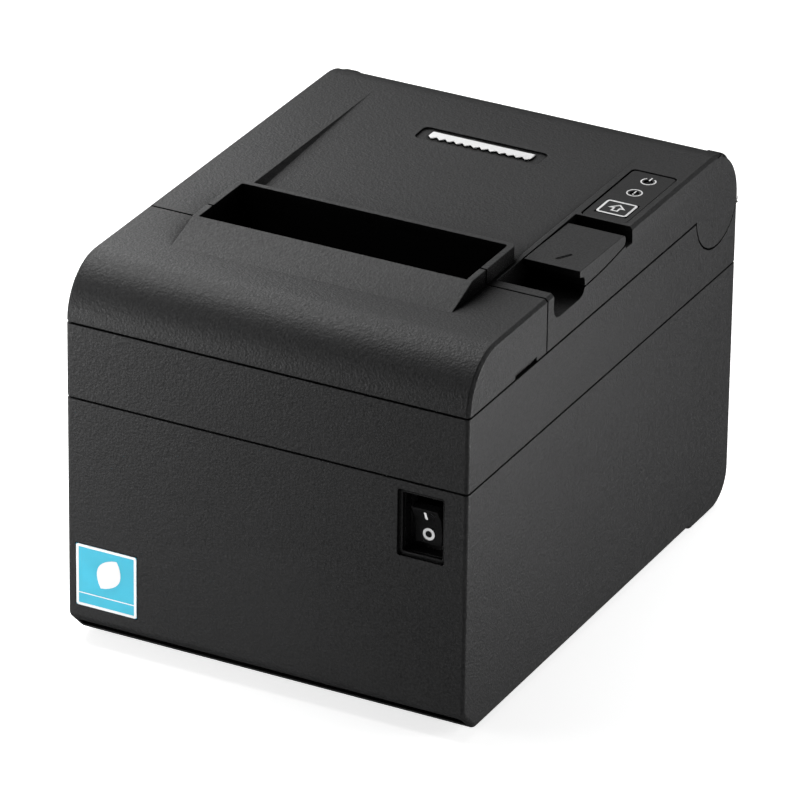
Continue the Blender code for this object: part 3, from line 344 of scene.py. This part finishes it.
def smooth_group():
    """Node group that shades every face of a piece smooth."""
    tree = bpy.data.node_groups.new("smooth_shading", "GeometryNodeTree")
    tree.interface.new_socket("Geometry", in_out="INPUT", socket_type="NodeSocketGeometry")
    tree.interface.new_socket("Geometry", in_out="OUTPUT", socket_type="NodeSocketGeometry")
    inlet = tree.nodes.new("NodeGroupInput")
    outlet = tree.nodes.new("NodeGroupOutput")
    smooth = tree.nodes.new("GeometryNodeSetShadeSmooth")
    tree.links.new(inlet.outputs[0], smooth.inputs["Geometry"])
    tree.links.new(smooth.outputs["Geometry"], outlet.inputs[0])
    return tree


SMOOTH = smooth_group()
WELD_REACH = 0.00001
FLAT_WITHIN = math.radians(0.2)
SHARP_FROM = math.radians(24.0)
NODE_ROUND = 0.00025
DETAIL_ROUND = 0.00008


def soften(piece, width):
    """Small round on every sharp edge, with smooth curved walls and flat flats."""
    weld = piece.modifiers.new("weld", "WELD")
    weld.merge_threshold = WELD_REACH
    flatten = piece.modifiers.new("flatten", "DECIMATE")
    flatten.decimate_type = "DISSOLVE"
    flatten.angle_limit = FLAT_WITHIN
    shade = piece.modifiers.new("shade", "NODES")
    shade.node_group = SMOOTH
    step = piece.modifiers.new("edge_round", "BEVEL")
    step.width = width
    step.segments = 2
    step.limit_method = "ANGLE"
    step.angle_limit = SHARP_FROM
    step.use_clamp_overlap = False
    step.harden_normals = True
    even = piece.modifiers.new("even", "WEIGHTED_NORMAL")
    even.keep_sharp = True


# ---------------------------------------------------------------- marks

PRINT = 0.05
LIFT = 0.02


class Plane:
    """Flat place for printed marks: an origin, two directions along it and the one out of it."""

    def __init__(self, origin, right, up):
        self.origin = at(*origin)
        self.right = Vector(right).normalized()
        self.up = Vector(up).normalized()
        self.out = self.right.cross(self.up)

    def point(self, u, v, height):
        return self.origin + (self.right * u + self.up * v + self.out * height) * MM


def ring_points(radius, start=0.0, end=360.0, steps=48):
    """Points on a circle; the last one is left out when the circle is whole."""
    whole = end - start >= 360.0
    count = steps if whole else steps + 1
    angles = [math.radians(start + (end - start) * step / steps) for step in range(count)]
    return [(radius * math.cos(a), radius * math.sin(a)) for a in angles]


def rounded_rectangle(half_u, half_v, radius, steps=6):
    points = []
    for quarter, (u, v) in enumerate(((1, 1), (-1, 1), (-1, -1), (1, -1))):
        centre = (u * (half_u - radius), v * (half_v - radius))
        for step in range(steps + 1):
            angle = math.radians(90 * quarter + 90 * step / steps)
            points.append((centre[0] + radius * math.cos(angle), centre[1] + radius * math.sin(angle)))
    return points


def sides_of(points, width, closed):
    """Left and right edges of a stroke of even width along a line of points."""
    line = [Vector(point) for point in points]
    left, right = [], []
    for index, point in enumerate(line):
        before = line[index - 1] if closed or index > 0 else None
        after = line[(index + 1) % len(line)] if closed or index + 1 < len(line) else None
        runs = [(b - a).normalized() for a, b in ((before, point), (point, after)) if a is not None
                and b is not None]
        run = sum(runs, Vector((0.0, 0.0))).normalized()
        reach = width / 2 / max(0.3, run.dot(runs[0]))
        aside = Vector((-run.y, run.x)) * reach
        left.append(point + aside)
        right.append(point - aside)
    return left, right


def stroke(bm, plane, points, width, closed=False):
    """Raised stroke of ink along a line of points, added to a mesh as a closed body."""
    left, right = sides_of(points, width, closed)
    rows = []
    for a, b in zip(left, right):
        corners = ((a, LIFT), (a, LIFT + PRINT), (b, LIFT + PRINT), (b, LIFT))
        rows.append([bm.verts.new(plane.point(point.x, point.y, height)) for point, height in corners])
    pairs = list(zip(rows, rows[1:]))
    if closed:
        pairs.append((rows[-1], rows[0]))
    for row, other in pairs:
        for index in range(4):
            bm.faces.new((row[index - 1], row[index], other[index], other[index - 1]))
    if not closed:
        bm.faces.new(rows[0])
        bm.faces.new(rows[-1])


def patch(bm, plane, points):
    """Flat printed area inside an outline, added to a mesh as a closed body."""
    lower = [bm.verts.new(plane.point(u, v, LIFT)) for u, v in points]
    upper = [bm.verts.new(plane.point(u, v, LIFT + PRINT)) for u, v in points]
    bm.faces.new(lower)
    bm.faces.new(upper)
    for index in range(len(points)):
        bm.faces.new((lower[index - 1], lower[index], upper[index], upper[index - 1]))


def solid(name, bm, finish):
    """Object of one material made from a mesh, with its faces outwards."""
    bmesh.ops.recalc_face_normals(bm, faces=bm.faces)
    mesh = bpy.data.meshes.new(name)
    bm.to_mesh(mesh)
    bm.free()
    mesh.materials.append(finish)
    made = bpy.data.objects.new(name, mesh)
    bpy.context.scene.collection.objects.link(made)
    return made


def printed(name, bm, body):
    """White piece made of printed strokes, moving with a body."""
    made = solid(name, bm, WHITE)
    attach(made, body)


def top_plane(x, y, z):
    return Plane((x, y, z), (1, 0, 0), (0, 1, 0))


def power_mark():
    """Ring open towards the rear with a short bar through the opening."""
    bm = bmesh.new()
    plane = top_plane(*POWER_MARK, PANEL_TOP)
    stroke(bm, plane, ring_points(2.4, 125, 415), 0.5)
    stroke(bm, plane, [(0.0, 0.55), (0.0, 3.0)], 0.5)
    printed("power_mark", bm, "roll_cover")


def alert_mark():
    """Ring with an upright stroke and a dot."""
    bm = bmesh.new()
    plane = top_plane(*ALERT_MARK, PANEL_TOP)
    stroke(bm, plane, ring_points(2.5), 0.45, closed=True)
    stroke(bm, plane, [(0.0, -0.35), (0.0, 1.45)], 0.45)
    patch(bm, plane, [(u, v - 1.15) for u, v in ring_points(0.33, steps=16)])
    printed("alert_mark", bm, "roll_cover")


def feed_mark():
    """Frame round the feed key with an outlined arrow inside it."""
    bm = bmesh.new()
    plane = top_plane(*KEY_MARK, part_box("feed_button")[1].z / MM)
    stroke(bm, plane, rounded_rectangle(*KEY_FRAME, 0.9), 0.8, closed=True)
    arrow = [(-1.0, -2.0), (-1.0, 0.1), (-2.4, 0.1), (0.0, 2.5), (2.4, 0.1), (1.0, 0.1), (1.0, -2.0)]
    stroke(bm, plane, arrow, 0.6, closed=True)
    printed("feed_mark", bm, "feed_key")


def rocker_marks():
    """Line on the upper half of the rocker and ring on the lower half."""
    bm = bmesh.new()
    lean = math.radians(ROCKER_LEAN)
    upper = Plane(ROCKER_LINE, (1, 0, 0), (0, -math.sin(lean), math.cos(lean)))
    stroke(bm, upper, [(0.0, -1.7), (0.0, 1.7)], 0.85)
    drop = math.radians(ROCKER_DROP)
    lower = Plane(ROCKER_RING, (1, 0, 0), (0, -math.sin(drop), math.cos(drop)))
    stroke(bm, lower, ring_points(1.62), 0.95, closed=True)
    printed("rocker_marks", bm, "rocker")


def sticker_art():
    """Printed border, line and a plain leaf on the square label."""
    low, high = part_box("front_label")
    half = (high.x - low.x) / 2 / MM
    plane = Plane(((low.x + high.x) / 2 / MM, 0.0, (low.z + high.z) / 2 / MM), (1, 0, 0), (0, 0, 1))
    bm = bmesh.new()
    inner = half - STICKER_BORDER / 2
    stroke(bm, plane, rounded_rectangle(inner, inner, 0.5, 3), STICKER_BORDER, closed=True)
    line = half - STICKER_LINE * 2 * half
    stroke(bm, plane, [(-half + STICKER_BORDER, line), (half - STICKER_BORDER, line)], 0.35)
    leaf = []
    for side, steps in ((1, range(LEAF_STEPS + 1)), (-1, range(LEAF_STEPS - 1, 0, -1))):
        for step in steps:
            t = step / LEAF_STEPS
            bulge = LEAF_HALF * math.sin(math.pi * t) ** 0.8
            leaf.append((side * bulge, LEAF_TIP - LEAF_LENGTH * t))
    lean = math.radians(LEAF_LEAN)
    turned = [(u * math.cos(lean) - v * math.sin(lean), u * math.sin(lean) + v * math.cos(lean))
              for u, v in leaf]
    patch(bm, plane, [(u, v + 0.6) for u, v in turned])
    printed("sticker_art", bm, "base")


# ---------------------------------------------------------------- connectors

def block(bm, low, high):
    """Box between two corners in millimetres, added to a mesh."""
    first, last = at(*low), at(*high)
    made = bmesh.ops.create_cube(bm, size=1.0)["verts"]
    for corner in made:
        for axis in range(3):
            corner.co[axis] = last[axis] if corner.co[axis] > 0 else first[axis]


def pin(bm, x, z, y_low, y_high, radius, segments=16):
    """Round or many-sided pin along y, with a narrower tip, added to a mesh."""
    tip = y_high - radius * 0.6
    stations = ((y_low, radius), (tip, radius), (y_high, radius * 0.55))
    rings = []
    for y, size in stations:
        turns = [2 * math.pi * step / segments for step in range(segments)]
        rings.append([bm.verts.new(at(x + size * math.cos(t), y, z + size * math.sin(t))) for t in turns])
    for ring, other in zip(rings, rings[1:]):
        for index in range(segments):
            bm.faces.new((ring[index - 1], ring[index], other[index], other[index - 1]))
    bm.faces.new(rings[0])
    bm.faces.new(rings[-1])


def detail(name, bm, finish, body="base"):
    """Small modelled piece that moves with a body."""
    made = solid(name, bm, finish)
    soften(made, DETAIL_ROUND)
    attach(made, body)


def connector_contacts():
    """Contacts inside the four rear sockets and the posts beside the serial port."""
    bm = bmesh.new()
    pin(bm, DC_PIN[0], DC_PIN[1], SOCKET_REAR + 0.2, 193.5, 1.0)
    for count, z in ((5, SERIAL[1] + SERIAL_ROW), (4, SERIAL[1] - SERIAL_ROW)):
        for index in range(count):
            x = SERIAL[0] + SERIAL_PITCH * (index - (count - 1) / 2)
            pin(bm, x, z, SOCKET_REAR + 0.2, 194.0, 0.5, 10)
    for index in range(6):
        x = DRAWER[0] + DRAWER_PITCH * (index - 2.5)
        block(bm, (x - 0.2, SOCKET_REAR + 0.3, DRAWER[1] - 0.4), (x + 0.2, 192.0, DRAWER[1]))
    for index in range(4):
        x = USB[0] + (1.25 if index % 2 else -1.25)
        z = USB[1] + (2.05 if index < 2 else -2.35)
        block(bm, (x - 0.5, SOCKET_REAR + 1.0, z), (x + 0.5, 191.0, z + 0.3))
    detail("socket_contacts", bm, GOLD)
    bm = bmesh.new()
    block(bm, (USB[0] - 2.7, SOCKET_REAR + 0.3, USB[1] - 2.0), (USB[0] + 2.7, 192.4, USB[1] + 2.0))
    detail("usb_tongue", bm, TONGUE)
    bm = bmesh.new()
    for side in (-1, 1):
        pin(bm, SERIAL[0] + side * 14.5, SERIAL[1], 195.0, 198.4, 2.3, 6)
    detail("serial_posts", bm, STEEL)


# ---------------------------------------------------------------- stage

FLOOR_GLOW = 0.7
WORLD_GLOW = 0.03


def camera():
    data = bpy.data.cameras.new("camera")
    data.lens = CAMERA_LENS
    data.sensor_width = 36.0
    data.clip_end = 20.0
    made = bpy.data.objects.new("camera", data)
    bpy.context.scene.collection.objects.link(made)
    level = math.cos(CAMERA_ELEVATION)
    back = Vector((math.sin(CAMERA_AZIMUTH) * level, -math.cos(CAMERA_AZIMUTH) * level,
                   math.sin(CAMERA_ELEVATION)))
    made.rotation_mode = "QUATERNION"
    turn = (-back).to_track_quat("-Z", "Y").to_matrix() @ Matrix.Rotation(CAMERA_ROLL, 3, "Z")
    made.rotation_quaternion = turn.to_quaternion()
    made.location = CAMERA_AIM + back * CAMERA_DISTANCE
    bpy.context.scene.camera = made


def floor():
    bm = bmesh.new()
    bmesh.ops.create_grid(bm, x_segments=8, y_segments=8, size=3.0)
    mesh = bpy.data.meshes.new("floor")
    bm.to_mesh(mesh)
    bm.free()
    ground = bpy.data.objects.new("floor", mesh)
    bpy.context.scene.collection.objects.link(ground)
    paper, tree, shader = new_material("floor_paper", (0.86, 0.86, 0.86), 0.9)
    shader.inputs["Emission Color"].default_value = (1.0, 1.0, 1.0, 1.0)
    shader.inputs["Emission Strength"].default_value = FLOOR_GLOW
    mesh.materials.append(paper)
    ground.visible_glossy = False


def area_light(name, place, aim, size, power):
    data = bpy.data.lights.new(name, "AREA")
    data.shape = "SQUARE"
    data.size = size
    data.energy = power
    made = bpy.data.objects.new(name, data)
    bpy.context.scene.collection.objects.link(made)
    made.location = place
    made.rotation_mode = "QUATERNION"
    made.rotation_quaternion = (aim - place).to_track_quat("-Z", "Y")
    made.visible_camera = False


def away(azimuth, elevation, distance):
    """Point at a distance in metres from the middle; azimuth 0 is in front, 90 on the right."""
    turn, rise = math.radians(azimuth), math.radians(elevation)
    level = math.cos(rise)
    return CENTRE + distance * Vector((math.sin(turn) * level, -math.cos(turn) * level, math.sin(rise)))


def studio():
    """Soft boxes: three large ones behind, smaller ones close to the left and the right side."""
    world = bpy.data.worlds.new("studio")
    bpy.context.scene.world = world
    world.use_nodes = True
    sky = world.node_tree.nodes["Background"]
    sky.inputs["Color"].default_value = (1.0, 1.0, 1.0, 1.0)
    sky.inputs["Strength"].default_value = WORLD_GLOW
    area_light("rear_left_box", away(225, 50, 1.1), CENTRE, 0.55, 1.2)
    area_light("rear_box", away(180, 50, 1.1), CENTRE, 0.55, 2.6)
    area_light("rear_left_low_box", away(225, 22, 1.1), CENTRE, 0.55, 0.39)
    area_light("right_box", at(420, 230, 35), at(72, 110, 70), 0.3, 2.6)
    area_light("low_left_box", at(-260, -200, 60), at(-60, 0, 60), 0.2, 0.85)
    area_light("high_left_box", at(-250, 60, 560), at(-30, 20, 120), 0.3, 1.81)
    area_light("left_rear_box", at(-330, 300, 330), at(-40, 60, 100), 0.25, 0.72)
    area_light("left_front_box", at(-330, -120, 200), at(-60, 0, 90), 0.25, 0.23)


finish_nodes()
power_mark()
alert_mark()
feed_mark()
rocker_marks()
sticker_art()
connector_contacts()
camera()
floor()
studio()

bpy.context.scene.view_settings.view_transform = "Standard"
